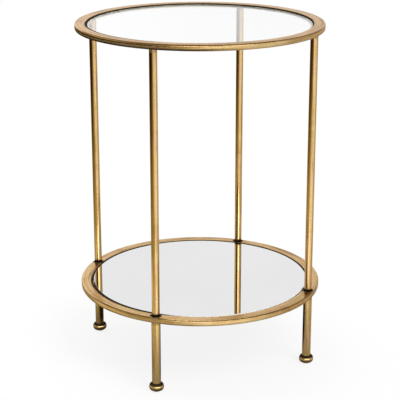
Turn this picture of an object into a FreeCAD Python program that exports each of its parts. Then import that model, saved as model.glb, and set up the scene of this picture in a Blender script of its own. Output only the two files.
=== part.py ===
import FreeCAD, Part
import math
import os
import Sketcher

# A round side table with two tiers, in millimetres.
# A steel ring with a clear glass top stands on four slim legs. A second, equal ring
# below it holds a round mirror, and four short legs on bun feet carry that ring.
# The origin is on the floor under the table's centre, and +Z is up.

doc = FreeCAD.newDocument("tiered_side_table")

# ---------------------------------------------------------------- driving sizes

SIZES = {
    "table_diameter": 420.0,
    "table_height": 590.0,
    "shelf_height": 135.0,
    # rolled rectangular tube of both rings
    "ring_width": 20.0,
    "ring_height": 10.0,
    "ring_wall": 1.2,
    "ring_corner": 2.0,
    # flat strip welded inside each ring, which carries its pane
    "ledge_width": 4.5,
    "ledge_thickness": 1.5,
    # loose round panes: each lies below its ring's top face by its recess, and has its
    # gap of air all round
    "glass_thickness": 5.0,
    "glass_recess": 2.5,
    "glass_gap": 1.0,
    "mirror_thickness": 4.0,
    "mirror_recess": 0.5,
    "mirror_gap": 1.5,
    "pane_bevel": 0.6,
    # clear bumper dots between ledge and pane
    "dot_diameter": 2.6,
    "dot_thickness": 0.8,
    # legs, round tube
    "upper_leg_diameter": 13.0,
    "lower_leg_diameter": 15.0,
    "leg_wall": 1.2,
    # turned end plugs of the legs
    "flange_height": 3.5,
    "flange_round": 1.2,
    "plug_length": 16.0,
    "plug_clearance": 0.05,
    # studs, nuts and sleeves that hold legs, rings and feet together
    "stud_diameter": 6.0,
    "stud_bite": 12.0,
    "stud_clearance": 0.05,
    "stud_tip_gap": 1.6,
    "ring_hole_clearance": 0.25,
    "nut_width": 10.0,
    "nut_height": 5.0,
    "sleeve_wall": 1.8,
    # turned bun feet and their glides
    "foot_diameter": 25.0,
    "foot_height": 13.0,
    "foot_base_diameter": 15.0,
    "foot_stud_bite": 8.0,
    "foot_hole_relief": 1.0,
    "glide_diameter": 13.0,
    "glide_thickness": 3.0,
    "glide_recess": 1.5,
    "glide_clearance": 0.05,
}

DOT_COUNT = 4
LEG_COUNT = 4
# Chords to each quarter turn: of the tube's rounded corners, and of the feet's bulge.
CORNER_STEPS = 2
BUN_STEPS = 3
# Where each leg stands, as its angle round the table from +X.
STATIONS = {"front": -90.0, "right": 0.0, "back": 90.0, "left": 180.0}

sheet = doc.addObject("Spreadsheet::Sheet", "sizes")
for row, (alias, value) in enumerate(SIZES.items(), start=1):
    sheet.set("A%d" % row, alias)
    sheet.set("B%d" % row, str(value))
    sheet.setAlias("B%d" % row, alias)
doc.recompute()


class Length:
    """A length as a number and as the sheet expression that gives it."""

    def __init__(self, value, text):
        self.value = value
        self.text = text

    def __add__(self, other):
        other = as_length(other)
        return Length(self.value + other.value, "(%s + %s)" % (self.text, other.text))

    def __sub__(self, other):
        other = as_length(other)
        return Length(self.value - other.value, "(%s - %s)" % (self.text, other.text))

    def __mul__(self, factor):
        return Length(self.value * factor, "(%s * %.9f)" % (self.text, factor))

    def __truediv__(self, divisor):
        return Length(self.value / divisor, "(%s / %.9f)" % (self.text, divisor))


def as_length(number):
    if isinstance(number, Length):
        return number
    return Length(float(number), "%.9f" % number)


def size(alias):
    """The driving size with this alias."""
    return Length(SIZES[alias], "sizes.%s" % alias)


# ------------------------------------------------- places worked out from the sizes

ON_AXIS = as_length(0)
ring_outer = size("table_diameter") / 2
ring_inner = ring_outer - size("ring_width")
ledge_inner = ring_inner - size("ledge_width")
glass_radius = ring_inner - size("glass_gap")
mirror_radius = ring_inner - size("mirror_gap")
# The legs stand under the middle of the ring's section.
leg_circle = ring_outer - size("ring_width") / 2

top_face = size("table_height")
top_underside = top_face - size("ring_height")
shelf_face = size("shelf_height")
shelf_underside = shelf_face - size("ring_height")
foot_bottom = size("glide_thickness") - size("glide_recess")
foot_top = foot_bottom + size("foot_height")

upper_leg = size("upper_leg_diameter") / 2
lower_leg = size("lower_leg_diameter") / 2
stud = size("stud_diameter") / 2
threaded_hole = stud + size("stud_clearance")
ring_hole = stud + size("ring_hole_clearance")


# --------------------------------------------------------------- drawing helpers

def new_body(label):
    body = doc.addObject("PartDesign::Body", label)
    body.Label = label
    body.AllowCompound = True
    return body


def new_sketch(body, name, plane):
    """An empty sketch on one of the body's own origin planes."""
    sketch = body.newObject("Sketcher::SketchObject", name)
    for feature in body.Origin.OriginFeatures:
        if feature.Role == plane:
            sketch.AttachmentSupport = [(feature, "")]
    sketch.MapMode = "FlatFace"
    return sketch


def lock(sketch, geometry, point, across, up):
    """Holds a point of the sketch at its place, bound to the sheet."""
    for kind, length in (("DistanceX", across), ("DistanceY", up)):
        index = sketch.addConstraint(Sketcher.Constraint(kind, -1, 1, geometry, point, length.value))
        sketch.setExpression("Constraints[%d]" % index, length.text)


def draw_outline(sketch, corners):
    """A closed outline of straight sides through the corners."""
    points = [FreeCAD.Vector(across.value, up.value, 0) for across, up in corners]
    sides = []
    for number, start in enumerate(points):
        end = points[(number + 1) % len(points)]
        sides.append(sketch.addGeometry(Part.LineSegment(start, end), False))
    for number, side in enumerate(sides):
        following = sides[(number + 1) % len(sides)]
        sketch.addConstraint(Sketcher.Constraint("Coincident", side, 2, following, 1))
        lock(sketch, side, 1, corners[number][0], corners[number][1])


def draw_axis(sketch, across):
    """An upright construction line, which a feature turns about as Axis0."""
    foot = FreeCAD.Vector(across.value, 0, 0)
    head = FreeCAD.Vector(across.value, 1, 0)
    line = sketch.addGeometry(Part.LineSegment(foot, head), True)
    lock(sketch, line, 1, across, as_length(0))
    lock(sketch, line, 2, across, as_length(1))
    return "Axis0"


def turn(body, kind, name, corners, axis_at=None):
    """Turns an outline drawn in the XZ plane about Z, or about an upright line at
    axis_at: a Revolution adds the turned shape to the body, a Groove cuts it away."""
    sketch = new_sketch(body, name + "_outline", "XZ_Plane")
    draw_outline(sketch, corners)
    axis = "V_Axis" if axis_at is None else draw_axis(sketch, axis_at)
    feature = body.newObject("PartDesign::" + kind, name)
    feature.Profile = sketch
    feature.ReferenceAxis = (sketch, [axis])
    feature.Angle = 360.0
    sketch.Visibility = False
    body.Tip = feature
    return feature


def repeat_round(body, feature, name, count):
    """Repeats the feature at equal angles round the table's axis."""
    doc.recompute()
    pattern = body.newObject("PartDesign::PolarPattern", name)
    pattern.Originals = [feature]
    for datum in body.Origin.OriginFeatures:
        if datum.Role == "Z_Axis":
            pattern.Axis = (datum, [""])
    pattern.Angle = 360.0
    pattern.Occurrences = count
    body.Tip = pattern
    return pattern


def rectangle(inner, outer, low, high):
    return [(inner, low), (outer, low), (outer, high), (inner, high)]


def quarter_round(centre, half_width, half_height, first_angle, steps):
    """Points along a quarter of an ellipse, anticlockwise from first_angle degrees."""
    points = []
    for step in range(steps + 1):
        angle = math.radians(first_angle + 90.0 * step / steps)
        points.append((centre[0] + half_width * math.cos(angle), centre[1] + half_height * math.sin(angle)))
    return points


def rounded_rectangle(inner, outer, low, high, corner):
    """A rectangle whose corners are rounded in CORNER_STEPS chords."""
    centres = [
        ((outer - corner, low + corner), -90.0),
        ((outer - corner, high - corner), 0.0),
        ((inner + corner, high - corner), 90.0),
        ((inner + corner, low + corner), 180.0),
    ]
    points = []
    for centre, first_angle in centres:
        points.extend(quarter_round(centre, corner, corner, first_angle, CORNER_STEPS))
    return points


def off_axis(corners):
    """The same outline, drawn about the leg's axis out on the leg circle."""
    return [(leg_circle + across, up) for across, up in corners]


def turned_set(label, corners):
    """One body that holds the same turned piece at each of the legs."""
    body = new_body(label)
    piece = turn(body, "Revolution", label + "_piece", off_axis(corners), leg_circle)
    repeat_round(body, piece, label + "_round", LEG_COUNT)
    return body


# -------------------------------------------------------------- rings and ledges

def make_ring(label, underside, drilled_through):
    """A rectangular tube rolled on edge into a ring and welded shut, drilled for a
    stud at each leg: through both walls, or through the lower wall only."""
    face = underside + size("ring_height")
    wall = size("ring_wall")
    body = new_body(label)
    section = rounded_rectangle(ring_inner, ring_outer, underside, face, size("ring_corner"))
    turn(body, "Revolution", label + "_tube", section)
    hollow = rectangle(ring_inner + wall, ring_outer - wall, underside + wall, face - wall)
    turn(body, "Groove", label + "_hollow", hollow)
    drill_top = face if drilled_through else face - wall * 2
    drilled = off_axis(rectangle(ON_AXIS, ring_hole, underside, drill_top))
    hole = turn(body, "Groove", label + "_hole", drilled, leg_circle)
    repeat_round(body, hole, label + "_holes", LEG_COUNT)
    return body


def make_ledge(label, top):
    """A flat strip rolled into a hoop and welded inside the ring to carry the pane."""
    body = new_body(label)
    strip = rectangle(ledge_inner, ring_inner, top - size("ledge_thickness"), top)
    turn(body, "Revolution", label + "_hoop", strip)
    return body


# ---------------------------------------------------------------- panes and dots

def make_pane(label, radius, underside, thickness):
    """A loose round pane, lying inside its ring. Its upper edge is ground to a bevel."""
    face = underside + thickness
    bevel = size("pane_bevel")
    body = new_body(label)
    turn(body, "Revolution", label + "_disc", [
        (ON_AXIS, underside),
        (radius, underside),
        (radius, face - bevel),
        (radius - bevel, face),
        (ON_AXIS, face),
    ])
    return body


def make_dots(label, pane_radius, ledge_top):
    """Clear bumper dots stuck on the ledge, on which the pane lies, halfway between the
    pane's edge and the ledge's inner edge."""
    middle = (pane_radius + ledge_inner) / 2
    radius = size("dot_diameter") / 2
    section = rectangle(middle, middle + radius, ledge_top, ledge_top + size("dot_thickness"))
    body = new_body(label)
    dot = turn(body, "Revolution", label + "_dot", section, middle)
    repeat_round(body, dot, label + "_round", DOT_COUNT)
    return body


# --------------------------------------------------------------------- leg parts

def make_leg(label, station, radius, low, high):
    """One leg: a plain round tube, cut square at both ends."""
    body = new_body(label)
    turn(body, "Revolution", label + "_tube", rectangle(radius - size("leg_wall"), radius, low, high))
    angle = STATIONS[station]
    body.setExpression("Placement.Base.x", "%s * cos(%.1f)" % (leg_circle.text, angle))
    body.setExpression("Placement.Base.y", "%s * sin(%.1f)" % (leg_circle.text, angle))
    return body


def make_flanged_plugs(label, radius, ring_face, points_up):
    """Turned plugs that close one end of each leg. The head is as wide as the leg and
    lies against the ring; the shank is pressed into the tube; a threaded hole runs
    through both. points_up says that the head is at the upper end."""
    way = 1 if points_up else -1
    head_root = ring_face - size("flange_height") * way
    shank_end = head_root - size("plug_length") * way
    shank = radius - size("leg_wall") - size("plug_clearance")
    round_off = size("flange_round")
    return turned_set(label, [
        (threaded_hole, shank_end),
        (shank, shank_end),
        (shank, head_root),
        (radius, head_root),
        (radius, ring_face - round_off * way),
        (radius - round_off, ring_face),
        (threaded_hole, ring_face),
    ])


def make_flush_plugs(label, radius, low):
    """Plugs pressed flush into the lower ends of the lower legs, threaded for the feet."""
    shank = radius - size("leg_wall") - size("plug_clearance")
    return turned_set(label, rectangle(threaded_hole, shank, low, low + size("plug_length")))


def make_studs(label, low, high):
    """Threaded studs on the leg circle."""
    return turned_set(label, rectangle(ON_AXIS, stud, low, high))


def make_sleeves(label, underside):
    """Crush sleeves that stand between the two walls of the shelf ring's tube."""
    low = underside + size("ring_wall")
    high = underside + size("ring_height") - size("ring_wall")
    return turned_set(label, rectangle(ring_hole, ring_hole + size("sleeve_wall"), low, high))


def make_nuts(label, low):
    """Hexagonal weld nuts on the lower wall inside the top ring's tube."""
    body = new_body(label)
    outline = new_sketch(body, label + "_outline", "XY_Plane")
    outline.setExpression("AttachmentOffset.Base.z", low.text)
    corner_distance = size("nut_width") / 2 / math.cos(math.radians(30))
    # Two of the hexagon's corners point towards and away from the table's axis.
    corners = []
    for step in range(6):
        angle = math.radians(60 * step)
        corners.append((leg_circle + corner_distance * math.cos(angle), corner_distance * math.sin(angle)))
    draw_outline(outline, corners)
    middle = FreeCAD.Vector(leg_circle.value, 0, 0)
    hole = outline.addGeometry(Part.Circle(middle, FreeCAD.Vector(0, 0, 1), threaded_hole.value), False)
    lock(outline, hole, 3, leg_circle, as_length(0))
    index = outline.addConstraint(Sketcher.Constraint("Radius", hole, threaded_hole.value))
    outline.setExpression("Constraints[%d]" % index, threaded_hole.text)
    nut = body.newObject("PartDesign::Pad", label + "_nut")
    nut.Profile = outline
    nut.setExpression("Length", size("nut_height").text)
    outline.Visibility = False
    body.Tip = nut
    repeat_round(body, nut, label + "_round", LEG_COUNT)
    return body


# -------------------------------------------------------------------------- feet

def make_feet(label):
    """Turned bun feet: flattened balls, each with a threaded blind hole in its top and
    a shallow recess for the glide underneath."""
    half = size("foot_height") / 2
    waist = foot_bottom + half
    base = size("foot_base_diameter") / 2
    bulge = size("foot_diameter") / 2
    recess = size("glide_diameter") / 2 + size("glide_clearance")
    recess_top = foot_bottom + size("glide_recess")
    hole_bottom = foot_top - size("foot_stud_bite") - size("foot_hole_relief")
    section = [(ON_AXIS, recess_top), (recess, recess_top), (recess, foot_bottom)]
    section += quarter_round((base, waist), bulge - base, half, -90.0, BUN_STEPS)
    section += quarter_round((lower_leg, waist), bulge - lower_leg, half, 0.0, BUN_STEPS)[1:]
    section += [(threaded_hole, foot_top), (threaded_hole, hole_bottom), (ON_AXIS, hole_bottom)]
    return turned_set(label, section)


def make_glides(label):
    """Round rubber glides in the feet's recesses, standing a little below the feet."""
    return turned_set(label, rectangle(ON_AXIS, size("glide_diameter") / 2, ON_AXIS, size("glide_thickness")))


# ---------------------------------------------------------------- the whole table

def make_table():
    glass_under = top_face - size("glass_recess") - size("glass_thickness")
    glass_ledge_top = glass_under - size("dot_thickness")
    mirror_under = shelf_face - size("mirror_recess") - size("mirror_thickness")
    mirror_ledge_top = mirror_under - size("dot_thickness")
    flange = size("flange_height")
    bite = size("stud_bite")

    parts = [
        make_ring("top_ring", top_underside, False),
        make_ledge("top_glass_ledge", glass_ledge_top),
        make_dots("top_glass_dots", glass_radius, glass_ledge_top),
        make_pane("top_glass", glass_radius, glass_under, size("glass_thickness")),
        make_ring("shelf_ring", shelf_underside, True),
        make_ledge("shelf_mirror_ledge", mirror_ledge_top),
        make_dots("shelf_mirror_dots", mirror_radius, mirror_ledge_top),
        make_pane("shelf_mirror", mirror_radius, mirror_under, size("mirror_thickness")),
        make_flanged_plugs("upper_leg_top_plugs", upper_leg, top_underside, True),
        make_flanged_plugs("upper_leg_bottom_plugs", upper_leg, shelf_face, False),
        make_flanged_plugs("lower_leg_top_plugs", lower_leg, shelf_underside, True),
        make_flush_plugs("lower_leg_bottom_plugs", lower_leg, foot_top),
        make_nuts("top_ring_nuts", top_underside + size("ring_wall")),
        make_sleeves("shelf_ring_sleeves", shelf_underside),
        make_feet("bun_feet"),
        make_glides("foot_glides"),
    ]
    # The upper studs stop short of the upper wall inside the top ring's tube.
    top_stud_end = top_face - size("ring_wall") - size("stud_tip_gap")
    parts.append(make_studs("top_ring_studs", top_underside - bite, top_stud_end))
    parts.append(make_studs("shelf_ring_studs", shelf_underside - bite, shelf_face + bite))
    parts.append(make_studs("foot_studs", foot_top - size("foot_stud_bite"), foot_top + bite))

    for station in STATIONS:
        parts.append(make_leg("upper_leg_" + station, station, upper_leg,
                              shelf_face + flange, top_underside - flange))
        parts.append(make_leg("lower_leg_" + station, station, lower_leg,
                              foot_top, shelf_underside - flange))
    return parts


def check_and_write(parts):
    """Stops on any failed feature or bad solid, then writes one STEP file for each part."""
    for item in doc.Objects:
        if "Invalid" in item.State or "Error" in item.State:
            raise RuntimeError("%s failed: %s" % (item.Name, item.State))
    for part in parts:
        if part.Shape.isNull() or not part.Shape.isValid():
            raise RuntimeError("%s has a bad shape" % part.Label)
    os.makedirs("parts", exist_ok=True)
    for part in parts:
        part.Shape.exportStep("parts/%s.step" % part.Label)
        box = part.Shape.BoundBox
        print("%-24s %2d solids %12.1f mm3  z %7.2f to %7.2f" % (
            part.Label, len(part.Shape.Solids), part.Shape.Volume, box.ZMin, box.ZMax))


table_parts = make_table()
doc.recompute()
check_and_write(table_parts)
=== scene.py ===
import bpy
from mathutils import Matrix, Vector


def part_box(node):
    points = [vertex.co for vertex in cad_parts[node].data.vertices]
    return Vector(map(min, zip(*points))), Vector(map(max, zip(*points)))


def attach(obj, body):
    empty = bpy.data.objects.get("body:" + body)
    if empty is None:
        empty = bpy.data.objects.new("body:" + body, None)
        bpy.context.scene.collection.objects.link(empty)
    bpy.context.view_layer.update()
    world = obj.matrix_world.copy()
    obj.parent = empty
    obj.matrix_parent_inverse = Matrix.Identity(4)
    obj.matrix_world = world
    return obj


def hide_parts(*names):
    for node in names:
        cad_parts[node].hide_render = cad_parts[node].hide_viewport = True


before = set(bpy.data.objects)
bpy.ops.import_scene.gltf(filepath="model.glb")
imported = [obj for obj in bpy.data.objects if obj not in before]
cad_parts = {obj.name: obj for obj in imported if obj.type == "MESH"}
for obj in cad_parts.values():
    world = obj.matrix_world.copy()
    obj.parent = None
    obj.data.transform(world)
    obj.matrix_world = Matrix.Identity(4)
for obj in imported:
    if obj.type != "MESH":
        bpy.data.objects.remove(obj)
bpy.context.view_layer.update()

# %% [markdown]
# ## Helpers for node trees
#
# Blender's materials and its Geometry Nodes are both trees of nodes. A tree that is built
# by hand takes much dragging of wires. In a script, one helper that adds a node and fills
# its sockets makes each tree read like a short recipe.
# %% Add a node to a tree
import bpy
import math


def fill(tree, node, inputs):
    """Gives each socket named in inputs a link or a plain value. A plain colour is given by
    its red, green and blue."""
    for key, value in inputs.items():
        socket = node.inputs[key]
        if isinstance(value, bpy.types.NodeSocket):
            tree.links.new(value, socket)
        elif socket.type == "RGBA":
            socket.default_value = (*value, 1.0)
        else:
            socket.default_value = value


def add(tree, kind, inputs=None, **settings):
    """Adds a node with these settings, and fills its sockets."""
    node = tree.nodes.new(kind)
    for name, value in settings.items():
        setattr(node, name, value)
    fill(tree, node, inputs or {})
    return node


# %% Sums on values and places
MEASURES = ("DISTANCE", "DOT_PRODUCT", "LENGTH")


def math_node(tree, operation, first, second=0.0):
    """One sum on one or two values."""
    return add(tree, "ShaderNodeMath", {0: first, 1: second}, operation=operation).outputs[0]


def times(tree, first, second):
    """One value times another."""
    return math_node(tree, "MULTIPLY", first, second)


def minus(tree, first, second):
    """One value less another."""
    return math_node(tree, "SUBTRACT", first, second)


def vector_node(tree, operation, first, second=(0.0, 0.0, 0.0)):
    """One sum on one or two vectors. It gives a value if it measures, or else a vector."""
    node = add(tree, "ShaderNodeVectorMath", {0: first, 1: second}, operation=operation)
    return node.outputs["Value" if operation in MEASURES else "Vector"]


def height_of(tree, place):
    """The height of a place above the floor."""
    return add(tree, "ShaderNodeSeparateXYZ", {0: place}).outputs["Z"]


# %% Steps and colours
def fade(tree, value, start, end, low=0.0, high=1.0, way="SMOOTHSTEP"):
    """A step from low to high while the value goes from start to end."""
    return add(tree, "ShaderNodeMapRange", {
        "Value": value, "From Min": start, "From Max": end, "To Min": low, "To Max": high,
    }, interpolation_type=way).outputs["Result"]


def between(tree, share, first, second):
    """A value between two values."""
    return add(tree, "ShaderNodeMix", {0: share, 2: first, 3: second}).outputs[0]


def blend(tree, share, first, second):
    """A colour between two colours."""
    return add(tree, "ShaderNodeMix", {0: share, 6: first, 7: second},
               data_type="RGBA").outputs[2]


def ramp(tree, value, stops):
    """A colour that follows a value through these stops, each a value and its colour."""
    low = stops[0][0]
    high = stops[-1][0]
    share = fade(tree, value, low, high, way="LINEAR")
    node = add(tree, "ShaderNodeValToRGB", {"Fac": share})
    elements = node.color_ramp.elements
    elements[0].color = (*stops[0][1], 1.0)
    elements[1].color = (*stops[-1][1], 1.0)
    for place, colour in stops[1:-1]:
        elements.new((place - low) / (high - low)).color = (*colour, 1.0)
    return node.outputs["Color"]


def grey(level):
    """A colour with no hue."""
    return (level, level, level)


# %% Start a group of nodes with named sockets
SOCKETS = {float: "NodeSocketFloat", int: "NodeSocketInt", tuple: "NodeSocketVector",
           "colour": "NodeSocketColor", "shape": "NodeSocketGeometry",
           "material": "NodeSocketMaterial"}
ORIGIN = (0.0, 0.0, 0.0)


def start_group(name, kind, inputs, outputs):
    """A new tree with its input sockets and its output node. An input is given by its usual
    value, or by the kind of its socket."""
    tree = bpy.data.node_groups.new(name, kind)
    for label, value in inputs.items():
        plain = not isinstance(value, str)
        socket = tree.interface.new_socket(
            label, in_out="INPUT", socket_type=SOCKETS[type(value) if plain else value])
        if plain:
            socket.default_value = value
    for label, value in outputs.items():
        tree.interface.new_socket(label, in_out="OUTPUT", socket_type=SOCKETS[value])
    return tree, tree.nodes.new("NodeGroupInput").outputs, tree.nodes.new("NodeGroupOutput")


# %% Start a material, and place a group in it
def start_material(name):
    """A new material, its tree and its shader, and the place on the table in metres."""
    material = bpy.data.materials.new(name)
    material.use_nodes = True
    tree = material.node_tree
    place = add(tree, "ShaderNodeTexCoord").outputs["Object"]
    return material, tree, tree.nodes["Principled BSDF"], place


def use_group(tree, group, inputs):
    """Places a group in a material, and gives its outputs."""
    return add(tree, "ShaderNodeGroup", inputs, node_tree=group).outputs


def bump(tree, height, distance):
    """The direction of a surface that a height dents by this distance."""
    return add(tree, "ShaderNodeBump", {"Height": height, "Distance": distance,
                                        "Strength": 1.0}).outputs["Normal"]


# %% [markdown]
# ## The studio camera
#
# The camera stands a little over two metres away and about a metre up, and looks down at
# the table. A long lens keeps the legs almost parallel. Its length is worked out from how
# many pixels a small turn of the camera covers in the square picture.
# %% Place the camera
CAMERA_AWAY = 2.217
CAMERA_HEIGHT = 0.9776
CAMERA_ROUND = 0.3721
CAMERA_DOWN = 0.3066
RIGHT = (math.cos(CAMERA_ROUND), math.sin(CAMERA_ROUND), 0.0)
FRONT = (math.sin(CAMERA_ROUND), -math.cos(CAMERA_ROUND), 0.0)
PICTURE = 400
FOCUS_IN_PIXELS = 1330.0


def new_object(name, data):
    """A new object, put in the scene."""
    made = bpy.data.objects.new(name, data)
    bpy.context.scene.collection.objects.link(made)
    return made


camera_data = bpy.data.cameras.new("studio_camera")
camera_data.sensor_width = 36.0
camera_data.lens = FOCUS_IN_PIXELS * camera_data.sensor_width / PICTURE
camera_data.clip_end = 100.0
camera = new_object("studio_camera", camera_data)
camera.location = (CAMERA_AWAY * FRONT[0], CAMERA_AWAY * FRONT[1], CAMERA_HEIGHT)
camera.rotation_euler = (math.pi / 2 - CAMERA_DOWN, 0.0, CAMERA_ROUND)
bpy.context.scene.camera = camera
print("lens", round(camera_data.lens, 1), "mm")

# %% [markdown]
# ## The table's own sizes
#
# Each size is read from the box of a node in the engineering model, so that the looks
# follow it if the table is made larger. The rest are what a box can't tell: the width of
# the ring's tube, the wall of the legs and how round an edge is.
# %% Read the sizes
ring_low, ring_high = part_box("top_ring")
shelf_low, shelf_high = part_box("shelf_ring")
RING_RADIUS = ring_high.x
RING_WIDTH = 0.020
RING_INNER = RING_RADIUS - RING_WIDTH
RING_HEIGHT = ring_high.z - ring_low.z
RING_CORNER = 0.0025
LEG_WALL = 0.0012
STATIONS = {"front": (0, -1), "right": (1, 0), "back": (0, 1), "left": (-1, 0)}
leg_low, leg_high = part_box("upper_leg_right")
LEG_CIRCLE = (leg_low.x + leg_high.x) / 2
UPPER_LEG_RADIUS = (leg_high.x - leg_low.x) / 2
low_leg_low, low_leg_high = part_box("lower_leg_right")
LOWER_LEG_RADIUS = (low_leg_high.x - low_leg_low.x) / 2
print("ring", RING_RADIUS, "legs", UPPER_LEG_RADIUS, LOWER_LEG_RADIUS, "on", LEG_CIRCLE)

# %% [markdown]
# ## Antique gold, part one: the marks in the leaf
#
# The frame is finished in imitation gold leaf, rubbed back and glazed with a brown wash.
# Up close it isn't one colour. There are soft patches where the leaf overlaps, small
# mottles where the wash held, dark flecks where the leaf broke, and fine streaks and
# broader strokes that follow the rubbing cloth. A painted image could show them, but
# noise of five sizes does it at any scale and has no seams. The group gives out masks
# only, so that other finishes can use the same marks with their own colours.
# %% The marks group
MASKS = ("Patches", "Mottle", "Flecks", "Streaks", "Strokes")
marks, ask, give = start_group("leaf_marks", "ShaderNodeTree",
                               {"Place": ORIGIN, "Streak place": ORIGIN, "Streak across": 0.0},
                               dict.fromkeys(MASKS, float))


def noise(tree, place, scale, detail=3.0, roughness=0.55, distortion=0.0, across=None):
    """Soft noise, in four dimensions where a value across is given."""
    inputs = {"Vector": place, "Scale": scale, "Detail": detail, "Roughness": roughness,
              "Distortion": distortion}
    if across is not None:
        inputs["W"] = across
    return add(tree, "ShaderNodeTexNoise", inputs,
               noise_dimensions="3D" if across is None else "4D").outputs["Fac"]


spot_place = (ask["Place"], None)
streak_place = (ask["Streak place"], ask["Streak across"])
for mask, (place, across), scale, detail, roughness, distortion, start, end in (
        ("Patches", spot_place, 38.0, 3.0, 0.55, 0.6, 0.38, 0.62),
        ("Mottle", spot_place, 190.0, 4.0, 0.6, 0.3, 0.32, 0.68),
        ("Flecks", spot_place, 460.0, 2.0, 0.5, 0.0, 0.64, 0.72),
        ("Streaks", streak_place, 1.0, 3.0, 0.6, 0.0, 0.3, 0.7),
        ("Strokes", streak_place, 0.42, 4.0, 0.65, 0.4, 0.44, 0.62)):
    soft = noise(marks, place, scale, detail, roughness, distortion, across)
    fill(marks, give, {mask: fade(marks, soft, start, end)})
print("group", marks.name, len(marks.nodes), "nodes")

# %% [markdown]
# ## How far from a leg
#
# Several finishes change near the legs: the brown wash and painted shade on the rings, and
# the painted shadow on the sheet round each foot. All four legs are alike, so the place is
# folded into one quarter first: the larger of |x| and |y| runs outward to a leg, and the
# smaller runs across it.
# %% The leg distance group
leg_away, ask, give = start_group("distance_from_leg", "ShaderNodeTree", {"Place": ORIGIN},
                                  {"Distance": float})
part = add(leg_away, "ShaderNodeSeparateXYZ", {0: ask["Place"]}).outputs
side_x = math_node(leg_away, "ABSOLUTE", part["X"])
side_y = math_node(leg_away, "ABSOLUTE", part["Y"])
outward = minus(leg_away, math_node(leg_away, "MAXIMUM", side_x, side_y), LEG_CIRCLE)
across = math_node(leg_away, "MINIMUM", side_x, side_y)
squares = math_node(leg_away, "ADD", times(leg_away, outward, outward),
                    times(leg_away, across, across))
fill(leg_away, give, {"Distance": math_node(leg_away, "SQRT", squares)})
print("group", leg_away.name, len(leg_away.nodes), "nodes")

# %% [markdown]
# ## Antique gold, part two: wash and painted shade at the joins
#
# A brown wash is wiped over the leaf and stays in the corners that the cloth misses: round
# each leg where it meets a ring. Painted shade darkens the same corners. The darkening is
# strongest on top of the shelf's ring and weaker underneath a ring. The group finds those
# corners from the place alone: near in height to one of the three joins, and near to a leg.
# %% The wash and painted shade group
UNDER_RING = 0.3

wash_shade_group, ask, give = start_group("join_wash_and_shade", "ShaderNodeTree",
                              {"Place": ORIGIN, "From leg": 0.0, "Reach up": 0.0065,
                               "Reach round": 0.0055}, {"Wash and shade": float})
height_up = height_of(wash_shade_group, ask["Place"])
by_height = 0.0
# Wash and painted shade at each join: full above the shelf's ring, UNDER_RING beneath a ring.
for join, most in ((shelf_high.z, 1.0), (shelf_low.z, UNDER_RING), (ring_low.z, UNDER_RING)):
    away = math_node(wash_shade_group, "ABSOLUTE", minus(wash_shade_group, height_up, join))
    near = fade(wash_shade_group, math_node(wash_shade_group, "DIVIDE", away, ask["Reach up"]), 0.5, 1.0, most, 0.0)
    by_height = math_node(wash_shade_group, "MAXIMUM", near, by_height)
past_leg = minus(wash_shade_group, ask["From leg"], UPPER_LEG_RADIUS)
round_leg = math_node(wash_shade_group, "DIVIDE", past_leg, ask["Reach round"])
fill(wash_shade_group, give, {"Wash and shade": times(wash_shade_group, by_height, fade(wash_shade_group, round_leg, 0.2, 1.0, 1.0, 0.0))})
print("group", wash_shade_group.name, len(wash_shade_group.nodes), "nodes")

# %% [markdown]
# ## Antique gold, part three: the colours
#
# The masks become a colour here. Warm leaf and pinker leaf alternate in patches, the
# mottles are a little darker and greener, the streaks a little lighter, and the strokes,
# the flecks, the wash and the painted shade go to brown. The same masks make the surface
# rougher and less metallic where the wash and painted shade lie, as for a paint, and lower
# where the leaf broke.
# %% The leaf colour group
LEAF_WARM = (0.77, 0.495, 0.18)
LEAF_PINK = (0.80, 0.49, 0.24)
LEAF_GREEN = (0.68, 0.46, 0.15)
LEAF_LIGHT = (0.96, 0.76, 0.42)
GLAZE = (0.33, 0.18, 0.055)
# The wash's brown, used also for painted shade and for the flecks.
WASH_AND_SHADE_BROWN = (0.013, 0.006, 0.002)
WASH_ROUGH = 0.4
MOTTLE_SHARE = 0.5
FLECK_SHARE = 0.6
STREAK_RISE = 0.5

leaf, ask, give = start_group("leaf_colour", "ShaderNodeTree",
                              {"Patches": 0.5, "Mottle": 0.5, "Flecks": 0.0, "Streaks": 0.5,
                               "Strokes": 0.5, "Wash and shade": 0.0, "Glaze": 0.5, "Shine": 0.4,
                               "Dull": 0.2, "Bright": 0.11},
                              {"Colour": "colour", "Roughness": float, "Metal": float,
                               "Height": float})
colour = blend(leaf, ask["Patches"], LEAF_WARM, LEAF_PINK)
for share, tone in ((times(leaf, ask["Mottle"], MOTTLE_SHARE), LEAF_GREEN),
                    (times(leaf, ask["Streaks"], ask["Shine"]), LEAF_LIGHT),
                    (times(leaf, ask["Strokes"], ask["Glaze"]), GLAZE),
                    (times(leaf, ask["Flecks"], FLECK_SHARE), WASH_AND_SHADE_BROWN),
                    (ask["Wash and shade"], WASH_AND_SHADE_BROWN)):
    colour = blend(leaf, share, colour, tone)
cover = math_node(leaf, "MAXIMUM", ask["Mottle"], ask["Strokes"])
rough = fade(leaf, cover, 0.0, 1.0, ask["Bright"], ask["Dull"], "LINEAR")
fill(leaf, give, {
    "Colour": colour,
    "Roughness": math_node(leaf, "ADD", rough, times(leaf, ask["Wash and shade"], WASH_ROUGH)),
    "Metal": minus(leaf, 1.0, ask["Wash and shade"]),
    "Height": minus(leaf, times(leaf, ask["Streaks"], STREAK_RISE), ask["Flecks"])})
print("group", leaf.name, len(leaf.nodes), "nodes")
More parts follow.
